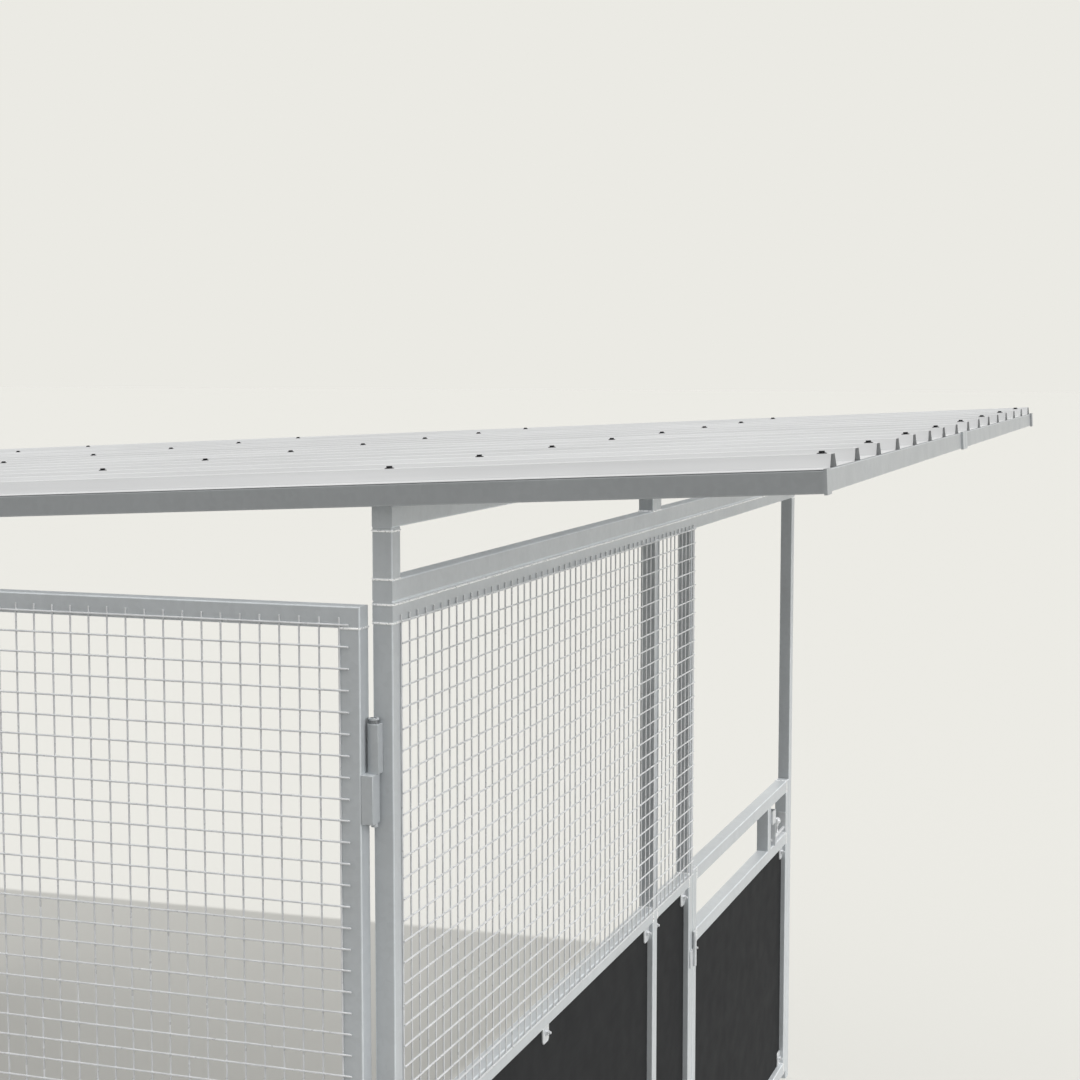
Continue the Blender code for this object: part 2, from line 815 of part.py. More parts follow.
def make_gate_hinge(level, gate_below):
    """A lug with the pin on the corner post, and a lug with a bore on the gate."""
    middle = HINGE_HEIGHTS[level]
    down = -1 if gate_below else 1
    post_side = -GATE_PIN_X - GAP
    post_points = [
        (post_side, POST_LUG_BACK - GATE_PIN_Y),
        *arc(POST_LUG_NOSE, POST_LUG_TURN, pi),
        (-POST_LUG_NOSE, POST_LUG_FRONT - GATE_PIN_Y),
        (post_side, POST_LUG_FRONT - GATE_PIN_Y),
    ]
    pin = (GATE_PIN_X, GATE_PIN_Y)
    post_middle = middle - down * (LUG_HEIGHT / 2 + GAP)
    post_lug = piece(
        "gate_post_lug_" + level,
        lug_mesh("post lug", post_points, LUG_HEIGHT),
        HARDWARE,
        stable,
        (*pin, post_middle),
    )
    pin_length = 2 * LUG_HEIGHT + PIN_HEAD_HEIGHT / 2 + PIN_TAIL
    pin_middle = middle - down * (PIN_HEAD_HEIGHT / 2 - PIN_TAIL) / 2
    fuse_round(
        post_lug, f"gate pin {level}", GATE_PIN_RADIUS, pin_length, "Z", stable, (*pin, pin_middle)
    )
    head_middle = middle - down * (LUG_HEIGHT + GAP + PIN_HEAD_HEIGHT / 2)
    fuse_round(
        post_lug,
        f"gate pin head {level}",
        PIN_HEAD_RADIUS,
        PIN_HEAD_HEIGHT + 2 * GAP,
        "Z",
        stable,
        (*pin, head_middle),
    )
    gate_back = GATE_START - GAP - GATE_PIN_Y
    gate_front = GATE_LUG_FRONT - GATE_PIN_Y
    gate_points = [
        (GATE_LUG_NOSE, gate_back),
        (GATE_OUT - GATE_PIN_X, gate_back),
        (GATE_OUT - GATE_PIN_X, gate_front),
        *arc(GATE_LUG_NOSE, -pi / 2, 0),
    ]
    gate_lug = piece(
        "gate_lug_" + level,
        lug_mesh("gate lug", gate_points, LUG_HEIGHT),
        HARDWARE,
        gate,
        (*pin, middle + down * (LUG_HEIGHT / 2 + GAP)),
    )
    drill(
        gate_lug,
        f"gate lug bore {level}",
        GATE_BORE_RADIUS,
        LUG_HEIGHT * 1.5,
        "Z",
        gate,
        (*pin, middle + down * LUG_HEIGHT / 2),
    )


def make_gate():
    across = [
        GATE_START,
        GATE_START + TUBE,
        GATE_CENTRE_STILE,
        GATE_CENTRE_STILE + TUBE,
        GATE_END - TUBE,
        GATE_END,
    ]
    up = [BOTTOM_RAIL, BOTTOM_RAIL_TOP, MID_RAIL, MID_RAIL + TUBE, GATE_TOP - TUBE, GATE_TOP]

    def solid(column, row):
        return column % 2 == 0 or row % 2 == 0

    middle_x = (GATE_OUT + GATE_IN) / 2
    welded_frame("gate_frame", across, up, solid, "Y", gate, (middle_x, 0, 0))
    bays = {"front": (across[1], across[2]), "rear": (across[3], across[4])}
    for side, (start, stop) in bays.items():
        block(
            "gate_board_" + side,
            (GATE_OUT + BOARD_RECESS, start, BOTTOM_RAIL_TOP),
            (GATE_OUT + BOARD_RECESS + BOARD_THICKNESS, stop, MID_RAIL),
            BOARD,
            gate,
            gap=2 * GAP,
        )
    net(
        "gate_mesh",
        GATE_FIRST_WIRE,
        GATE_WIRES,
        TOP_ROW,
        False,
        True,
        "Y",
        gate,
        (GATE_OUT - GAP - NET_DEPTH / 2, 0, 0),
    )
    for level, gate_below in (("upper", True), ("lower", False)):
        make_gate_hinge(level, gate_below)
    make_gate_latch()


def make_gate_latch():
    """The slide bolt at the gate's free end, on the outer face of its mid rail."""
    face = GATE_OUT - GAP
    foot, top = MID_RAIL + LATCH_FOOT, MID_RAIL + LATCH_FOOT + LATCH_HEIGHT
    outer = GATE_BOLT_X - ROD_COVER
    far = GATE_END - PLATE - LATCH_FROM_END
    near = far - GUIDE_SPAN
    latch = block(
        "gate_latch_body",
        (face - STRIP, near, foot),
        (face, far + PLATE, top),
        HARDWARE,
        gate,
        gap=0,
    )
    for number, start in enumerate((near, far), 1):
        fuse_block(
            latch,
            f"gate latch guide {number}",
            (outer, start, foot),
            (face - 2 * SINK, start + PLATE, top),
            gate,
        )
    drill(
        latch,
        "gate latch bore",
        ROD_HOLE_RADIUS,
        1.5 * GUIDE_SPAN,
        "Y",
        gate,
        (GATE_BOLT_X, (near + far) / 2, GATE_BOLT_Z),
    )
    rod_and_knob("gate_bolt", "Y", GATE_ROD_TIP, GATE_BOLT_X, GATE_BOLT_Z, gate_slide)
    plate_start = BACK + STRIKE_GAP
    strike = block(
        "gate_strike",
        (outer, plate_start, foot - STRIKE_RIM),
        (-GAP, plate_start + PLATE, top + STRIKE_RIM),
        HARDWARE,
        stable,
        gap=0,
    )
    fuse_block(
        strike,
        "gate strike foot",
        (-GAP - STRIP, plate_start, foot - STRIKE_RIM),
        (-GAP, DEPTH - STRIP, top + STRIKE_RIM),
        stable,
    )
    drill(
        strike,
        "gate strike hole",
        ROD_HOLE_RADIUS,
        4 * PLATE,
        "Y",
        stable,
        (GATE_BOLT_X, plate_start, GATE_BOLT_Z),
    )


for old in list(bpy.data.objects):
    bpy.data.objects.remove(old, do_unlink=True)
parts = collection("horse_stable")
cutters = collection("cutters")
cutters.hide_render = True

stable = empty("stable", place=(-(LOW_X + HIGH_X) / 2, -(LOW_Y + HIGH_Y) / 2, 0))
roof = empty("roof_tilt", stable, (0, ROOF_FRONT_Y, ROOF_FRONT_Z), -TILT)
door = empty("door_axis", stable, (DOOR_HINGE_X, DOOR_HINGE_Y, 0))
gate = empty("gate_axis", stable, (GATE_PIN_X, GATE_PIN_Y, 0))
door_slide = empty("door_bolt_axis", stable, (DOOR_ROD_TIP, DOOR_BOLT_Y, DOOR_BOLT_Z))
gate_slide = empty("gate_bolt_axis", stable, (GATE_BOLT_X, GATE_ROD_TIP, GATE_BOLT_Z))

make_front_wall()
make_roof_supports()
make_roof()
make_back_wall()
for hinge_level in DOOR_HINGE_MIDDLES:
    make_door_hinge(hinge_level)
make_door()
make_gate()
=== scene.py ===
"""Looks for a steel horse stable: welded wire mesh, weld seams, chamfered fittings, board clips,
roof screws, finishes, a pale floor and plain studio light.

Places are given in wall coordinates, as in the part's own source: X runs along the front wall from
its outer corner, Y runs back from the tubes' front faces and Z is the height above the ground.
"""

import json
import random
from math import atan, cos, pi, radians, sin

import bmesh
import bpy
from mathutils import Matrix, Vector


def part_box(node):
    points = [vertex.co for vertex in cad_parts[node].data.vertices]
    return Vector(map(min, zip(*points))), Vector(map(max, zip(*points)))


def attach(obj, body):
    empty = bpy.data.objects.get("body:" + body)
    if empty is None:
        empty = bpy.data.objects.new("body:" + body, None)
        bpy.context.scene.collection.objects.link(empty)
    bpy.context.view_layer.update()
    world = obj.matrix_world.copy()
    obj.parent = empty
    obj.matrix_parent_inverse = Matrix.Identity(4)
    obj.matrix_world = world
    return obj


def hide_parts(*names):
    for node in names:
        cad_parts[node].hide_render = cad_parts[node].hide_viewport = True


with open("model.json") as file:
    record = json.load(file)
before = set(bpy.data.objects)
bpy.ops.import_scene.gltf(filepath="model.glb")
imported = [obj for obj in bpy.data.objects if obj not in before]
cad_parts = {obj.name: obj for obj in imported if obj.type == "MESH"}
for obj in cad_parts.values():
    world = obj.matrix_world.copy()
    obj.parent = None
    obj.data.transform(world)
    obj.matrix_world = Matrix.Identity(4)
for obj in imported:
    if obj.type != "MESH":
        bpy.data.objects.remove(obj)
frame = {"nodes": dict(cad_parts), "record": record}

SEED = 7

# The walls, the door and the gate, as they are in the CAD model
HALF_GAP = 0.00015
TUBE = 0.050
WIDTH = 4.460
DEPTH = 4.460
CENTRE_STILE = 2.205
DOOR_STILE = 2.681
BOTTOM_RAIL = 0.037
BOTTOM_RAIL_TOP = 0.087
MID_RAIL = 1.310
MID_RAIL_TOP = MID_RAIL + TUBE
TOP_RAIL = 2.600
BEAM = 2.650
BOARD_FACE = 0.020
DOOR_BOARD = (2.787, 4.354)
DOOR_BOARD_TOP = 1.081
GATE_OUT = -0.0505
GATE_STILES = (0.0594, CENTRE_STILE, 4.3506)
GATE_TOP = 2.642

# The roof, as it is in the CAD model
ROOF_SLOPE = 0.0495
ROOF_FRONT_Y = -0.995
ROOF_FRONT_Z = 2.971
TILT = atan(ROOF_SLOPE)
ROOF_LENGTH = (DEPTH - ROOF_FRONT_Y) / cos(TILT)
PURLIN_Y = (0.025, 1.127, 2.227, 3.327)
MIDDLE = WIDTH / 2
RIB_PITCH = 0.2908
RIBS = 16

low_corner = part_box("front_corner_stile")[0]
WALL = Vector((low_corner.x - HALF_GAP, low_corner.y - HALF_GAP, 0.0))
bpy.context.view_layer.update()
rng = random.Random(SEED)


# Places


def at(x, y, z):
    """A point of wall coordinates in the model's own frame."""
    return WALL + Vector((x, y, z))


def roof_point(x, along, up):
    """A point of the tilted roof, from its place along the slope and its height above the frame."""
    y = ROOF_FRONT_Y + along * cos(TILT) + up * sin(TILT)
    z = ROOF_FRONT_Z - along * sin(TILT) + up * cos(TILT)
    return at(x, y, z)


def along_roof(y):
    return (y - ROOF_FRONT_Y) / cos(TILT)


def frame_matrix(place, right, up, out):
    """A matrix whose local X, Y and Z point along the given directions."""
    turned = Matrix((right, up, out)).transposed().to_4x4()
    return Matrix.Translation(place) @ turned


# Shapes

SMOOTH_ANGLE = radians(40)
ROUND_SIDES = 20


def skin(shape, rings):
    """Faces between rings of vertices, with both ends closed."""
    sides = len(rings[0])
    for near, far in zip(rings, rings[1:]):
        for index in range(sides):
            beside = (index + 1) % sides
            shape.faces.new((near[index], near[beside], far[beside], far[index]))
    shape.faces.new(list(reversed(rings[0])))
    shape.faces.new(rings[-1])


def add_prism(shape, sides, radius, low, high, matrix, chamfer=0.0):
    """A round or many-sided block along the local Z, with an optional chamfer at its far end."""
    levels = [(low, radius), (high, radius)]
    if chamfer:
        levels[1:] = [(high - chamfer, radius), (high, radius - chamfer)]
    rings = []
    for height, reach in levels:
        ring = []
        for turn in range(sides):
            angle = 2 * pi * (turn + 0.5) / sides
            local = Vector((reach * cos(angle), reach * sin(angle), height))
            ring.append(shape.verts.new(matrix @ local))
        rings.append(ring)
    skin(shape, rings)


def cut_edges(shape, edges, chamfer):
    bmesh.ops.bevel(
        shape,
        geom=edges,
        offset=chamfer,
        segments=1,
        profile=0.5,
        affect="EDGES",
        clamp_overlap=True,
    )


def merge(shape, own, matrix):
    """Adds a small bmesh to a larger one, moved by a matrix."""
    made = {}
    for vertex in own.verts:
        made[vertex] = shape.verts.new(matrix @ vertex.co)
    for face in own.faces:
        shape.faces.new([made[vertex] for vertex in face.verts])
    own.free()


def piece(name, shape, material, body):
    """An object from a bmesh, in a material, that rides on a CAD body."""
    mesh = bpy.data.meshes.new(name)
    bmesh.ops.recalc_face_normals(shape, faces=shape.faces[:])
    shape.to_mesh(mesh)
    shape.free()
    mesh.shade_smooth()
    mesh.set_sharp_from_angle(angle=SMOOTH_ANGLE)
    mesh.materials.append(material)
    made = bpy.data.objects.new(name, mesh)
    bpy.context.scene.collection.objects.link(made)
    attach(made, body)
    return made


# Node trees and materials

NOISE_LOW = 0.3
NOISE_HIGH = 0.7
FINE_BUMP = 0.0002
ROOF_BUMP = 0.0004
# Where the painted highlight on the tubes' rounded edges starts, where it is full, and how bright it
# makes them.
EDGE_START = 0.12
EDGE_FULL = 0.40
PAINTED_EDGE_HIGHLIGHT = 1.35
TUBE_COLOUR = (0.492, 0.517, 0.534)
# Painted shade and light: the roof's outer and front rails get darker copies of the tube zinc, the
# roof beams a lighter one.
OUTER_RAIL_PAINTED_SHADE = 0.66
FRONT_RAIL_PAINTED_SHADE = 0.78
ROOF_BEAM_PAINTED_LIGHT = 1.18
# Painted shade: the lugs' copy of the tube zinc is darker.
LUG_PAINTED_SHADE = 0.92
# How far ahead of and behind the roof's front edge the outer rails' painted shade fades to the front
# rail's.
FADE_AHEAD = 0.006
FADE_BEHIND = 0.004


class Tree:
    """A node tree, with short calls that add nodes and link them."""

    def __init__(self, tree):
        self.tree = tree

    def add(self, kind, **settings):
        made = self.tree.nodes.new(kind)
        for name, value in settings.items():
            setattr(made, name, value)
        return made

    def link(self, start, end):
        self.tree.links.new(start, end)

    def fit(self, value, low, high, start=0.0, stop=1.0):
        """A value whose run from start to stop becomes a run from low to high."""
        made = self.add("ShaderNodeMapRange")
        self.link(value, made.inputs["Value"])
        made.inputs["From Min"].default_value = start
        made.inputs["From Max"].default_value = stop
        made.inputs["To Min"].default_value = low
        made.inputs["To Max"].default_value = high
        return made.outputs["Result"]

    def maths(self, operation, *values):
        made = self.add("ShaderNodeMath", operation=operation)
        for value, socket in zip(values, made.inputs):
            self.link(value, socket)
        return made.outputs["Value"]

    def chain(self, operation, first, *others):
        """One result from several values, taken two at a time."""
        result = first
        for value in others:
            result = self.maths(operation, result, value)
        return result

    def scaled(self, colour, factor):
        made = self.add("ShaderNodeVectorMath", operation="SCALE")
        made.inputs[0].default_value = colour
        self.link(factor, made.inputs["Scale"])
        return made.outputs["Vector"]

    def axes(self, vector):
        split = self.add("ShaderNodeSeparateXYZ")
        self.link(vector, split.inputs[0])
        return split.outputs

    def end(self, kind, light, shown):
        """Ends the tree with one shader for the rays that see it, straight on, in gloss or through
        glass, and another for the light that it gives to the object."""
        path = self.add("ShaderNodeLightPath").outputs
        rays = ("Is Camera Ray", "Is Glossy Ray", "Is Transmission Ray")
        mix = self.add("ShaderNodeMixShader")
        self.link(self.chain("MAXIMUM", *(path[ray] for ray in rays)), mix.inputs["Fac"])
        self.link(light.outputs[0], mix.inputs[1])
        self.link(shown.outputs[0], mix.inputs[2])
        self.link(mix.outputs[0], self.add(kind).inputs["Surface"])


class Finish(Tree):
    """A material with its Principled shader, and calls that set what it shows."""

    def __init__(self, name):
        self.material = bpy.data.materials.new(name)
        self.material.use_nodes = True
        super().__init__(self.material.node_tree)
        self.shader = self.tree.nodes["Principled BSDF"]
        self.coordinates = self.add("ShaderNodeTexCoord").outputs
        self.place = self.coordinates["Object"]

    def stretched(self, scale):
        made = self.add("ShaderNodeMapping")
        self.link(self.place, made.inputs["Vector"])
        made.inputs["Scale"].default_value = scale
        return made.outputs["Vector"]

    def noise(self, scale, detail, vector=None, roughness=0.5):
        made = self.add("ShaderNodeTexNoise")
        self.link(vector or self.place, made.inputs["Vector"])
        made.inputs["Scale"].default_value = scale
        made.inputs["Detail"].default_value = detail
        made.inputs["Roughness"].default_value = roughness
        return made.outputs["Fac"]

    def clouds(self, scale, low, high, detail=3.0, vector=None, roughness=0.5):
        """A factor that drifts between two values."""
        value = self.noise(scale, detail, vector, roughness)
        return self.fit(value, low, high, NOISE_LOW, NOISE_HIGH)

    def crystals(self, scale, low, high):
        """Flat patches of chance brightness, as the crystals of zinc show."""
        made = self.add("ShaderNodeTexVoronoi")
        self.link(self.place, made.inputs["Vector"])
        made.inputs["Scale"].default_value = scale
        split = self.add("ShaderNodeSeparateColor")
        self.link(made.outputs["Color"], split.inputs["Color"])
        return self.fit(split.outputs["Red"], low, high)

    def edges(self, light):
        """Painted highlight: one on flat faces that follow the axes, more on the tubes' rounded
        edges.
        """
        turned = self.axes(self.coordinates["Normal"])
        x, y, z = (self.maths("ABSOLUTE", turned[axis]) for axis in "XYZ")
        pairs = [self.maths("MULTIPLY", *pair) for pair in ((x, y), (y, z), (x, z))]
        return self.fit(self.chain("ADD", *pairs), 1.0, light, EDGE_START, EDGE_FULL)

    def tint(self, colour, *factors):
        """A colour whose brightness follows factors near one."""
        colour = self.scaled(colour, self.chain("MULTIPLY", *factors))
        self.link(colour, self.shader.inputs["Base Color"])

    def rough(self, *clouds):
        self.link(self.clouds(*clouds), self.shader.inputs["Roughness"])

    def plain(self, socket, value):
        """A value that is the same all over, on the shader's own socket."""
        self.shader.inputs[socket].default_value = value

    def bump(self, scale, detail, strength, distance=FINE_BUMP):
        made = self.add("ShaderNodeBump")
        self.link(self.noise(scale, detail), made.inputs["Height"])
        made.inputs["Distance"].default_value = distance
        made.inputs["Strength"].default_value = strength
        self.link(made.outputs["Normal"], self.shader.inputs["Normal"])


def galvanised_tube(name, shade=1.0, front_painted_shade=None, painted_highlight=PAINTED_EDGE_HIGHLIGHT):
    """Dull zinc: soft crystals, cloudy patches and faint runs down the tube, and a painted highlight
    on its rounded edges. A shade below one darkens this copy of the zinc as painted shade and one
    above lightens it as painted light, and the front shade, if given, is the painted shade it fades
    to at the roof's front edge."""
    nodes = Finish(name)
    factors = [
        nodes.crystals(70.0, 0.975, 1.025),
        nodes.clouds(3.2, 0.96, 1.04, 4.0),
        nodes.clouds(1.0, 0.98, 1.02, 4.0, nodes.stretched((38.0, 38.0, 1.3))),
        # Painted highlight on the rounded edges.
        nodes.edges(painted_highlight),
    ]
    # Painted light at the outer rails' front ends: their painted shade fades to the front rail's
    # lighter one.
    if front_painted_shade:
        front = at(0, ROOF_FRONT_Y, 0).y
        back = nodes.axes(nodes.place)["Y"]
        start, stop = front - FADE_AHEAD, front + FADE_BEHIND
        factors.append(nodes.fit(back, front_painted_shade, shade, start, stop))
        zinc = TUBE_COLOUR
    else:
        zinc = [shade * part for part in TUBE_COLOUR]
    nodes.tint(zinc, *factors)
    nodes.rough(9.0, 0.30, 0.40)
    nodes.plain("Metallic", 0.10)
    nodes.plain("IOR", 1.7)
    nodes.bump(140.0, 3.0, 0.25)
    return nodes.material


def roof_coating():
    """Pale coated sheet with fine streaks that run down the slope."""
    nodes = Finish("roof_coating")
    streaks = nodes.clouds(1.0, 0.95, 1.05, 5.0, nodes.stretched((55.0, 0.9, 4.0)))
    nodes.tint((0.712, 0.717, 0.717), streaks, nodes.clouds(1.6, 0.96, 1.04))
    nodes.rough(6.0, 0.62, 0.74)
    nodes.plain("Specular IOR Level", 0.15)
    nodes.bump(60.0, 2.0, 0.25, ROOF_BUMP)
    return nodes.material


def black_board():
    """Near-black board with a faint long grain and rubbed patches."""
    nodes = Finish("black_board")
    grain = nodes.clouds(1.0, 0.95, 1.05, 6.0, nodes.stretched((5.0, 5.0, 160.0)), 0.6)
    nodes.tint((0.0225, 0.0232, 0.0245), grain, nodes.clouds(2.3, 0.96, 1.04))
    nodes.rough(12.0, 0.66, 0.76, 4.0)
    nodes.plain("Specular IOR Level", 0.06)
    nodes.bump(260.0, 3.0, 0.15)
    return nodes.material


def bright_wire():
    nodes = Finish("bright_wire")
    nodes.tint((0.640, 0.650, 0.660), nodes.clouds(22.0, 0.92, 1.08))
    nodes.rough(40.0, 0.26, 0.36, 2.0)
    nodes.plain("Metallic", 0.20)
    nodes.bump(320.0, 2.0, 0.3)
    return nodes.material


def zinc_fitting():
    nodes = Finish("zinc_fitting")
    clouds = nodes.clouds(30.0, 0.90, 1.08, 4.0)
    nodes.tint((0.620, 0.635, 0.650), clouds, nodes.crystals(130.0, 0.97, 1.03))
    nodes.rough(60.0, 0.30, 0.42)
    nodes.plain("Metallic", 0.30)
    nodes.bump(240.0, 3.0, 0.3)
    return nodes.material


# Weld beads of bright zinc, near white so that they are also a painted highlight along the joints.
def weld_zinc_and_highlight():
    nodes = Finish("weld_zinc_and_highlight")
    nodes.tint((0.930, 0.935, 0.940), nodes.clouds(90.0, 0.95, 1.05))
    nodes.rough(200.0, 0.24, 0.36, 2.0)
    nodes.plain("Metallic", 0.60)
    nodes.bump(500.0, 2.0, 0.2)
    return nodes.material


def dark_screw():
    nodes = Finish("dark_screw")
    nodes.tint((0.020, 0.020, 0.022), nodes.clouds(400.0, 0.75, 1.35))
    nodes.rough(300.0, 0.60, 0.75, 2.0)
    nodes.plain("Specular IOR Level", 0.15)
    return nodes.material


def dark_pin_reflection():
    """The darker, smoother plating of the gate's pins: its darkness is a painted reflection of the
    shaded floor.
    """
    nodes = Finish("dark_pin_reflection")
    nodes.tint((0.190, 0.200, 0.210), nodes.clouds(80.0, 0.85, 1.15))
    nodes.rough(120.0, 0.22, 0.32, 2.0)
    nodes.plain("Metallic", 0.35)
    nodes.bump(300.0, 2.0, 0.3)
    return nodes.material


wire_zinc = bright_wire()
fitting_zinc = zinc_fitting()
# Painted shade: a darker copy of the tube zinc for the lugs, without the painted edge highlight.
lug_painted_shade = galvanised_tube("lug_painted_shade", LUG_PAINTED_SHADE, painted_highlight=1.0)
pin_reflection_zinc = dark_pin_reflection()
seam_zinc_and_highlight = weld_zinc_and_highlight()
screw_black = dark_screw()

FINISH_OF_SLOT = {
    "galvanised": galvanised_tube("galvanised_tube"),
    "roof_sheet": roof_coating(),
    "board": black_board(),
    "wire": wire_zinc,
    "hardware": fitting_zinc,
    "screw": screw_black,
}
# Painted shade and light: darker copies of the tube zinc for the roof's outer and front rails, a
# lighter one for the roof beams.
ROOF_PAINTED_SHADE_AND_LIGHT = {
    "roof_outer_rail": galvanised_tube("outer_rail_painted_shade", OUTER_RAIL_PAINTED_SHADE, FRONT_RAIL_PAINTED_SHADE),
    "roof_front_rail": galvanised_tube("front_rail_painted_shade", FRONT_RAIL_PAINTED_SHADE),
    "roof_beam": galvanised_tube("roof_beam_painted_light", ROOF_BEAM_PAINTED_LIGHT),
}
for part in frame["record"]["subparts"]:
    finish = FINISH_OF_SLOT[part["material_slot"]]
    for start, zinc in ROOF_PAINTED_SHADE_AND_LIGHT.items():
        if part["node"].startswith(start):
            finish = zinc
    for holder in frame["nodes"][part["node"]].material_slots:
        holder.material = finish


# Wire mesh

WIRE_RADIUS = 0.0017
WIRE_SIDES = 8
WIRE_STRIDE = 0.5
WAVER = 0.1
PITCH = 0.050
ROWS = 26
TOP_ROW = 2.600
FREE_END = 0.017
INNER_LAYER = 0.0018
OUTER_LAYER = 0.0046
UPRIGHT_DRIFT = 0.0003
TOP_SCATTER = 0.0015
ROW_START_SCATTER = 0.0015
ROW_END_SCATTER = 0.003


def add_wire(
    shape, start, end, radius=WIRE_RADIUS, sides=WIRE_SIDES, stride=WIRE_STRIDE, swell=0.0
):
    """A round wire between two points, with a slight natural waver and flat cut ends."""
    run = end - start
    steps = max(1, round(run.length / stride))
    side = run.normalized().orthogonal()
    other = run.normalized().cross(side)
    rings = []
    for step in range(steps + 1):
        waver = Vector() if step in (0, steps) else side * rng.gauss(0, radius * WAVER)
        centre = start + run * step / steps + waver
        reach = radius * (1 + rng.uniform(-swell, swell))
        ring = []
        for turn in range(sides):
            angle = 2 * pi * turn / sides
            offset = (side * cos(angle) + other * sin(angle)) * reach
            ring.append(shape.verts.new(centre + offset))
        rings.append(ring)
    skin(shape, rings)


def wire_mesh(name, node, body, first, wires, row_start, row_end, point):
    """A welded panel of upright wires against the tubes with the level wires outside them.

    point turns a place along the wall, a distance out from the tubes and a height into a point."""
    shape = bmesh.new()
    foot = TOP_ROW - (ROWS - 1) * PITCH - WIRE_RADIUS
    for index in range(wires):
        along = first + index * PITCH + rng.gauss(0, UPRIGHT_DRIFT)
        top = TOP_ROW + FREE_END + rng.uniform(-TOP_SCATTER, 0.0)
        add_wire(shape, point(along, INNER_LAYER, foot), point(along, INNER_LAYER, top))
    for row in range(ROWS):
        height = TOP_ROW - row * PITCH
        start = row_start + rng.uniform(0.0, ROW_START_SCATTER)
        end = row_end - rng.uniform(0.0, ROW_END_SCATTER)
        add_wire(shape, point(start, OUTER_LAYER, height), point(end, OUTER_LAYER, height))
    made = piece(name, shape, wire_zinc, body)
    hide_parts(node)


def make_wire_meshes():
    wire_mesh(
        "front_welded_mesh",
        "front_mesh",
        "stable",
        first=0.0455,
        wires=54,
        row_start=0.0430,
        row_end=2.7205,
        point=lambda along, out, z: at(along, -out, z),
    )
    wire_mesh(
        "back_welded_mesh",
        "back_mesh",
        "stable",
        first=0.0300,
        wires=89,
        row_start=0.0275,
        row_end=4.4325,
        point=lambda along, out, z: at(along, DEPTH + out, z),
    )
    wire_mesh(
        "gate_welded_mesh",
        "gate_mesh",
        "gate",
        first=0.1096,
        wires=86,
        row_start=0.0850,
        row_end=4.3620,
        point=lambda along, out, z: at(GATE_OUT - out, along, z),
    )


# Weld seams

SEAM_RADIUS = 0.0019
SEAM_SIDES = 6
SEAM_STRIDE = 0.016
LONG_SEAM = 0.2
LONG_SEAM_STRIDE = 0.064
SEAM_SWELL = 0.02
SEAM_CORNER = 0.0024
SEAM_BELOW = 0.0075


def add_seam(shape, low, high):
    """A ring of weld round a tube, from two opposite corners that share the ring's level."""
    low, high = Vector(low), Vector(high)
    level = next(axis for axis in range(3) if low[axis] == high[axis])
    across, up = (axis for axis in range(3) if axis != level)
    left, right = low[across], high[across]
    foot, top = low[up], high[up]
    outline = (
        (left, foot + SEAM_CORNER),
        (left + SEAM_CORNER, foot),
        (right - SEAM_CORNER, foot),
        (right, foot + SEAM_CORNER),
        (right, top - SEAM_CORNER),
        (right - SEAM_CORNER, top),
        (left + SEAM_CORNER, top),
        (left, top - SEAM_CORNER),
    )
    path = []
    for place_across, place_up in outline:
        place = low.copy()
        place[across], place[up] = place_across, place_up
        path.append(place)
    for start, end in zip(path, path[1:] + path[:1]):
        stride = SEAM_STRIDE if (end - start).length < LONG_SEAM else LONG_SEAM_STRIDE
        add_wire(shape, at(*start), at(*end), SEAM_RADIUS, SEAM_SIDES, stride, SEAM_SWELL)


def seam_places():
    """The two corners of every welded joint's ring, for the bodies stable, door and gate. The rings
    under the beam and at the stubs' tops sit a little below the joints."""
    rails = ((BOTTOM_RAIL, BOTTOM_RAIL_TOP), (MID_RAIL, MID_RAIL_TOP))
    under_beam = BEAM - SEAM_BELOW
    stable = [((0, 0, under_beam), (WIDTH, TUBE, under_beam))]
    for x in (0, CENTRE_STILE, DOOR_STILE, WIDTH - TUBE):
        stable.append(((x, 0, TOP_RAIL), (x + TUBE, TUBE, TOP_RAIL)))
    for name in ("stub_corner", "stub_centre", "stub_end"):
        start, end = (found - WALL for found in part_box(name))
        for level in (start.z, end.z - SEAM_BELOW):
            stable.append(((start.x, 0, level), (end.x, TUBE, level)))
    for x in (TUBE, CENTRE_STILE, CENTRE_STILE + TUBE, DOOR_STILE):
        stable += [((x, 0, low), (x, TUBE, high)) for low, high in rails]
    back = DEPTH - TUBE
    for x in (0, CENTRE_STILE, WIDTH - TUBE):
        stable.append(((x, back, TOP_RAIL), (x + TUBE, DEPTH, TOP_RAIL)))
    for x in (TUBE, CENTRE_STILE, CENTRE_STILE + TUBE, WIDTH - TUBE):
        stable += [((x, back, low), (x, DEPTH, high)) for low, high in rails]
    door = []
    for x in DOOR_BOARD:
        for low, high in (*rails, (DOOR_BOARD_TOP, DOOR_BOARD_TOP + TUBE)):
            door.append(((x, 0, low), (x, TUBE, high)))
    gate = []
    inner, under_top = GATE_OUT + TUBE, GATE_TOP - TUBE
    for y in GATE_STILES:
        gate.append(((GATE_OUT, y, under_top), (inner, y + TUBE, under_top)))
    for y in (GATE_STILES[0] + TUBE, CENTRE_STILE, CENTRE_STILE + TUBE, GATE_STILES[2]):
        gate += [((GATE_OUT, y, low), (inner, y, high)) for low, high in rails]
    return {"stable": stable, "door": door, "gate": gate}


# The weld beads' near-white finish is partly a painted highlight along the joints.
def make_seams():
    for body, places in seam_places().items():
        shape = bmesh.new()
        for low, high in places:
            add_seam(shape, low, high)
        piece(body + "_weld_seams", shape, seam_zinc_and_highlight, body)


# Hinges, lugs, latches and bolts

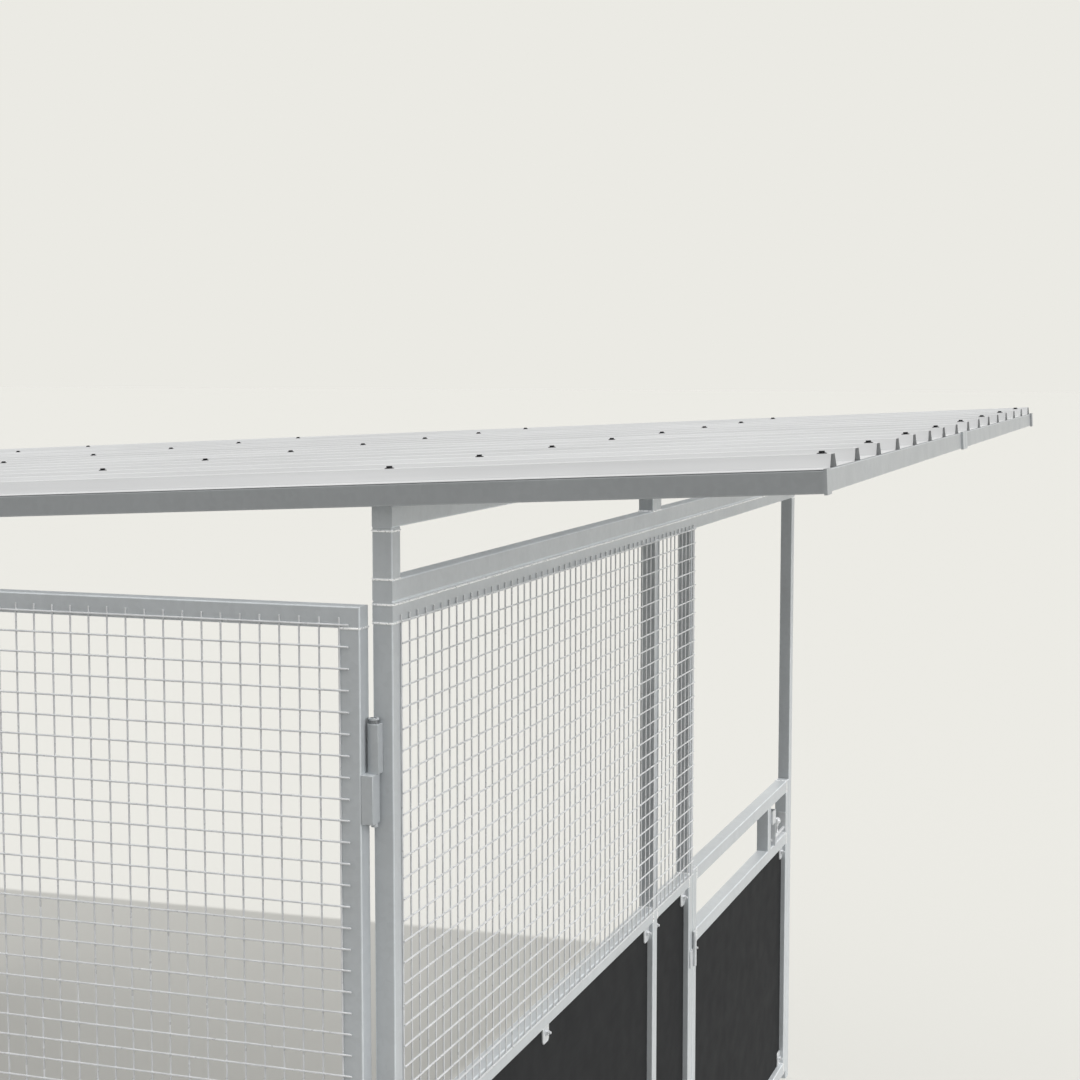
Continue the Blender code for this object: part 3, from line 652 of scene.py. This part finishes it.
CHAMFER = 0.0007
SHARP_ANGLE = radians(50)
FLAT_ANGLE = radians(1)
SAME_PLACE = 0.00003
FITTINGS = {
    "stable": (
        "gate_post_lug_upper",
        "gate_post_lug_lower",
        "door_hinge_leaf_upper",
        "door_hinge_leaf_lower",
    ),
    "gate": ("gate_lug_upper", "gate_lug_lower", "gate_latch_body"),
    "door": ("door_hinge_knuckle_upper", "door_hinge_knuckle_lower", "door_latch_body"),
    "door_bolt": ("door_bolt",),
    "gate_bolt": ("gate_bolt",),
}
PIN_PLACE = (-0.0130, 0.0425)
PIN_CAP_SIDES = 24
PIN_CAP_RADIUS = 0.0128
PIN_CAP_HEIGHT = 0.0133
PIN_CAP_CHAMFER = 0.0045
PIN_CAP_PROUD = 0.0003
KNOBS = {
    "door_bolt": ((4.217, 0.012, 1.213), 0.0165),
    "gate_bolt": ((-0.073, 4.215, 1.389), 0.0142),
}
KNOB_SEGMENTS = 28
KNOB_RINGS = 18
COLLAR_RADIUS = 0.0078
COLLAR_DROP = 0.0040


def chamfered(name, body):
    """The CAD node's own shape with chamfered edges and flat faces, in the node's place."""
    node = frame["nodes"][name]
    shape, own = bmesh.new(), bmesh.new()
    own.from_mesh(node.data)
    merge(shape, own, node.matrix_world)
    bmesh.ops.remove_doubles(shape, verts=shape.verts[:], dist=SAME_PLACE)
    bmesh.ops.dissolve_limit(
        shape, angle_limit=FLAT_ANGLE, verts=shape.verts[:], edges=shape.edges[:]
    )
    sharp = [edge for edge in shape.edges if edge.calc_face_angle(0.0) > SHARP_ANGLE]
    cut_edges(shape, sharp, CHAMFER)
    finish = lug_painted_shade if "lug" in name else fitting_zinc
    made = piece(name + "_chamfered", shape, finish, body)
    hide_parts(name)


def make_pin_caps():
    """Dark caps over the ends of the gate's pins, above the upper post lug and below the lower.
    Their dark colour is a painted reflection.
    """
    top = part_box("gate_post_lug_upper")[1].z + PIN_CAP_PROUD
    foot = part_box("gate_post_lug_lower")[0].z - PIN_CAP_PROUD
    shape = bmesh.new()
    for height, turn in ((top, 0.0), (foot, pi)):
        matrix = Matrix.Translation(at(*PIN_PLACE, height)) @ Matrix.Rotation(turn, 4, "X")
        add_prism(
            shape, PIN_CAP_SIDES, PIN_CAP_RADIUS, -PIN_CAP_HEIGHT, 0, matrix, PIN_CAP_CHAMFER
        )
    piece("gate_pin_caps", shape, pin_reflection_zinc, "stable")


def make_knobs():
    """Round ball knobs on their collars, over the plainer ones of the bolts."""
    for body, (place, radius) in KNOBS.items():
        shape = bmesh.new()
        matrix = Matrix.Translation(at(*place))
        bmesh.ops.create_uvsphere(
            shape, u_segments=KNOB_SEGMENTS, v_segments=KNOB_RINGS, radius=radius, matrix=matrix
        )
        add_prism(shape, ROUND_SIDES, COLLAR_RADIUS, -radius - COLLAR_DROP, -radius / 2, matrix)
        piece(body + "_knob", shape, fitting_zinc, body)


def make_fittings():
    for body, names in FITTINGS.items():
        for name in names:
            chamfered(name, body)
    make_pin_caps()
    make_knobs()


# Board clips and their bolts

CLIP_WIDTH = 0.052
CLIP_HEIGHT = 0.062
CLIP_THICKNESS = 0.005
CLIP_CORNER = 0.008
NUT_ACROSS = 0.0150
NUT_HEIGHT = 0.0070
WASHER_RADIUS = 0.0105
WASHER_HEIGHT = 0.0018
THREAD_SIDES = 12
THREAD_RADIUS = 0.0043
THREAD_END = 0.0155
BOLT_CHAMFER = 0.0008


def add_clip(shape, matrix):
    """A plate that holds a board, with washer, nut and bolt end at its middle. Local Y points to
    the rail that carries it and local Z out of the board."""
    side, foot = CLIP_WIDTH / 2, -CLIP_HEIGHT
    outline = (
        (-side, 0.0),
        (-side, foot + CLIP_CORNER),
        (-side + CLIP_CORNER, foot),
        (side - CLIP_CORNER, foot),
        (side, foot + CLIP_CORNER),
        (side, 0.0),
    )
    plate = bmesh.new()
    skin(plate, [[plate.verts.new((x, y, z)) for x, y in outline] for z in (0.0, CLIP_THICKNESS)])
    bmesh.ops.recalc_face_normals(plate, faces=plate.faces[:])
    cut_edges(plate, plate.edges[:], CHAMFER)
    merge(shape, plate, matrix)
    middle = matrix @ Matrix.Translation((0, -CLIP_HEIGHT / 2, CLIP_THICKNESS))
    nut_radius, nut_top = NUT_ACROSS / 2 / cos(pi / 6), WASHER_HEIGHT + NUT_HEIGHT
    add_prism(shape, ROUND_SIDES, WASHER_RADIUS, 0, WASHER_HEIGHT, middle)
    add_prism(shape, 6, nut_radius, WASHER_HEIGHT, nut_top, middle, BOLT_CHAMFER)
    add_prism(shape, THREAD_SIDES, THREAD_RADIUS, nut_top, THREAD_END, middle, BOLT_CHAMFER)


def clip_places(start, stop, top, middle):
    """Along and height of each clip of a board, and whether it hangs from the upper rail."""
    inset = CLIP_WIDTH / 2
    spots = [start + inset, stop - inset]
    if middle:
        spots.insert(1, (start + stop) / 2)
    return [
        (along, level, level == top) for along in spots for level in (top, BOTTOM_RAIL_TOP)
    ]


def board_clips(name, body, boards, top, point, right, out):
    """The clips of one wall's boards, each given by its start and stop along the wall and whether
    it has clips at its middle.

    point turns a place along the wall and a height into a point."""
    shape = bmesh.new()
    up = Vector((0, 0, 1))
    for start, stop, middle in boards:
        for along, level, hangs in clip_places(start, stop, top, middle):
            turn = 1 if hangs else -1
            matrix = frame_matrix(point(along, level), turn * right, turn * up, out)
            add_clip(shape, matrix)
    piece(name, shape, fitting_zinc, body)


def make_clips():
    board_clips(
        "front_board_clips",
        "stable",
        boards=((TUBE, CENTRE_STILE, True), (CENTRE_STILE + TUBE, DOOR_STILE, False)),
        top=MID_RAIL,
        point=lambda along, z: at(along, BOARD_FACE, z),
        right=Vector((1, 0, 0)),
        out=Vector((0, -1, 0)),
    )
    board_clips(
        "door_board_clips",
        "door",
        boards=((*DOOR_BOARD, False),),
        top=DOOR_BOARD_TOP,
        point=lambda along, z: at(along, BOARD_FACE, z),
        right=Vector((1, 0, 0)),
        out=Vector((0, -1, 0)),
    )
    board_clips(
        "back_board_clips",
        "stable",
        boards=((TUBE, CENTRE_STILE, True), (CENTRE_STILE + TUBE, WIDTH - TUBE, True)),
        top=MID_RAIL,
        point=lambda along, z: at(along, DEPTH - BOARD_FACE, z),
        right=Vector((-1, 0, 0)),
        out=Vector((0, 1, 0)),
    )
    board_clips(
        "gate_board_clips",
        "gate",
        boards=(
            (GATE_STILES[0] + TUBE, CENTRE_STILE, True),
            (CENTRE_STILE + TUBE, GATE_STILES[2], True),
        ),
        top=MID_RAIL,
        point=lambda along, z: at(GATE_OUT + BOARD_FACE, along, z),
        right=Vector((0, -1, 0)),
        out=Vector((-1, 0, 0)),
    )


# Roof screws

SCREW_WASHER = 0.0110
SCREW_FLANGE = 0.0085
SCREW_HEAD = 0.0068
SCREW_FOOT = 0.0290
SCREW_LEVELS = (0.0021, 0.0030, 0.0067)
SCREW_CHAMFER = 0.0003


def make_screws():
    """Dark screws with sealing washers, which cover the plain heads of the roof sheets' nodes."""
    rows = [TUBE / 2, *(along_roof(y) for y in PURLIN_Y), ROOF_LENGTH - TUBE / 2]
    washer, flange, head = SCREW_LEVELS
    sixth = Matrix.Rotation(pi / 6, 4, "Z")
    shape = bmesh.new()
    for along in rows:
        for rib in range(0, RIBS, 2):
            x = MIDDLE + (rib + 0.5 - RIBS / 2) * RIB_PITCH
            place = roof_point(x, along, SCREW_FOOT)
            matrix = Matrix.Translation(place) @ Matrix.Rotation(-TILT, 4, "X")
            add_prism(shape, ROUND_SIDES, SCREW_WASHER, 0, washer, matrix, SCREW_CHAMFER)
            add_prism(shape, ROUND_SIDES, SCREW_FLANGE, washer, flange, matrix)
            add_prism(shape, 6, SCREW_HEAD, flange, head, matrix @ sixth)
    piece("roof_screws", shape, screw_black, "stable")


make_wire_meshes()
make_seams()
make_fittings()
make_clips()
make_screws()


# Stage, light and camera

PALE = (0.831, 0.823, 0.776)
FLOOR_SIZE = 400.0
FLOOR_GLOW = 0.28
FLOOR_ALBEDO = (0.250, 0.2476, 0.2334)
BOUNCE_COLOUR = (0.42, 0.42, 0.41)
BOUNCE_FULL = 3.5
BOUNCE_NONE = 8.0
SKY_LOW = 0.40
SKY_HIGH = 1.25
SUN_TRAVEL = (0.388, 0.584, -0.713)
SUN_STRENGTH = 4.9
SUN_ANGLE = 0.8
FRONT_TRAVEL = (0.05, 1.0, -0.05)
FRONT_STRENGTH = 1.15
FRONT_ANGLE = 20.0
RAISED_TRAVEL = (0.10, 0.80, -0.58)
RAISED_STRENGTH = 0.7
RAISED_ANGLE = 35.0
CEILING_TRAVEL = (0.0, 0.05, -1.0)
CEILING_STRENGTH = 1.6
CEILING_ANGLE = 12.0
CAMERA_PLACE = (-4.147, -1.778, 3.197)
CAMERA_RIGHT = (0.32481, -0.94578, 0.0)
CAMERA_UP = (0.08489, 0.029155, 0.99596)
CAMERA_LENS = 66.57
CAMERA_REACH = 1000.0
SENSOR = 36.0


def make_floor():
    """A wide pale floor that keeps the object's shadow and gives a bounce of light near it."""
    mesh = bpy.data.meshes.new("pale_floor")
    half = FLOOR_SIZE / 2
    corners = [(-half, -half, 0), (half, -half, 0), (half, half, 0), (-half, half, 0)]
    mesh.from_pydata(corners, [], [(0, 1, 2, 3)])
    floor = bpy.data.objects.new("pale_floor", mesh)
    bpy.context.scene.collection.objects.link(floor)
    material = bpy.data.materials.new("pale_floor")
    material.use_nodes = True
    material.node_tree.nodes.clear()
    tree = Tree(material.node_tree)
    matt = tree.add("ShaderNodeBsdfDiffuse")
    matt.inputs["Color"].default_value = (*FLOOR_ALBEDO, 1)
    glow = tree.add("ShaderNodeEmission")
    glow.inputs["Color"].default_value = (*PALE, 1)
    glow.inputs["Strength"].default_value = FLOOR_GLOW / PALE[0]
    shown = tree.add("ShaderNodeAddShader")
    tree.link(matt.outputs[0], shown.inputs[0])
    tree.link(glow.outputs[0], shown.inputs[1])
    reach = tree.add("ShaderNodeVectorMath", operation="LENGTH")
    tree.link(tree.add("ShaderNodeTexCoord").outputs["Object"], reach.inputs[0])
    near = tree.fit(reach.outputs["Value"], 0.0, 1.0, BOUNCE_NONE, BOUNCE_FULL)
    bounce = tree.add("ShaderNodeBsdfDiffuse")
    tree.link(tree.scaled(BOUNCE_COLOUR, near), bounce.inputs["Color"])
    tree.end("ShaderNodeOutputMaterial", bounce, shown)
    mesh.materials.append(material)
    return floor


def make_world():
    """Pale to the camera and in gloss. As a light it is brighter overhead, like a studio ceiling."""
    world = bpy.context.scene.world or bpy.data.worlds.new("studio")
    bpy.context.scene.world = world
    world.use_nodes = True
    world.node_tree.nodes.clear()
    tree = Tree(world.node_tree)
    shown = tree.add("ShaderNodeBackground")
    shown.inputs["Color"].default_value = (*PALE, 1)
    light = tree.add("ShaderNodeBackground")
    light.inputs["Color"].default_value = (1, 1, 1, 1)
    height = tree.axes(tree.add("ShaderNodeTexCoord").outputs["Generated"])["Z"]
    tree.link(tree.fit(height, SKY_LOW, SKY_HIGH), light.inputs["Strength"])
    tree.end("ShaderNodeOutputWorld", light, shown)


def make_sun(name, travel, strength, angle):
    lamp = bpy.data.lights.new(name, "SUN")
    lamp.energy = strength
    lamp.angle = radians(angle)
    sun = bpy.data.objects.new(name, lamp)
    sun.rotation_euler = Vector(travel).to_track_quat("-Z", "Y").to_euler()
    bpy.context.scene.collection.objects.link(sun)
    return sun


def group(name, things):
    made = bpy.data.collections.new(name)
    for thing in things:
        made.objects.link(thing)
    return made


def make_lamps(floor):
    """Two broad soft lamps in front, one overhead that the roof doesn't stop, which lights the tops
    of the rails, and a crisp one that only draws the shadow on the floor."""
    make_sun("front_softbox", FRONT_TRAVEL, FRONT_STRENGTH, FRONT_ANGLE)
    make_sun("raised_softbox", RAISED_TRAVEL, RAISED_STRENGTH, RAISED_ANGLE)
    shadow_lamp = make_sun("shadow_lamp", SUN_TRAVEL, SUN_STRENGTH, SUN_ANGLE)
    shadow_lamp.light_linking.receiver_collection = group("floor_light", [floor])
    ceiling = make_sun("ceiling_softbox", CEILING_TRAVEL, CEILING_STRENGTH, CEILING_ANGLE)
    meshes = [thing for thing in bpy.context.scene.objects if thing.type == "MESH"]
    below = [
        thing for thing in meshes if thing is not floor and not thing.name.startswith("roof_")
    ]
    ceiling.light_linking.receiver_collection = group("below_roof", below)
    ceiling.light_linking.blocker_collection = group("ceiling_stop", [floor])


def make_camera():
    data = bpy.data.cameras.new("photo_view")
    data.lens = CAMERA_LENS
    data.sensor_width = SENSOR
    data.clip_end = CAMERA_REACH
    camera = bpy.data.objects.new("photo_view", data)
    right, up = Vector(CAMERA_RIGHT).normalized(), Vector(CAMERA_UP).normalized()
    camera.matrix_world = frame_matrix(at(*CAMERA_PLACE), right, up, right.cross(up))
    bpy.context.scene.collection.objects.link(camera)
    bpy.context.scene.camera = camera


pale_floor = make_floor()
make_world()
make_lamps(pale_floor)
make_camera()
bpy.context.scene.view_settings.view_transform = "Standard"
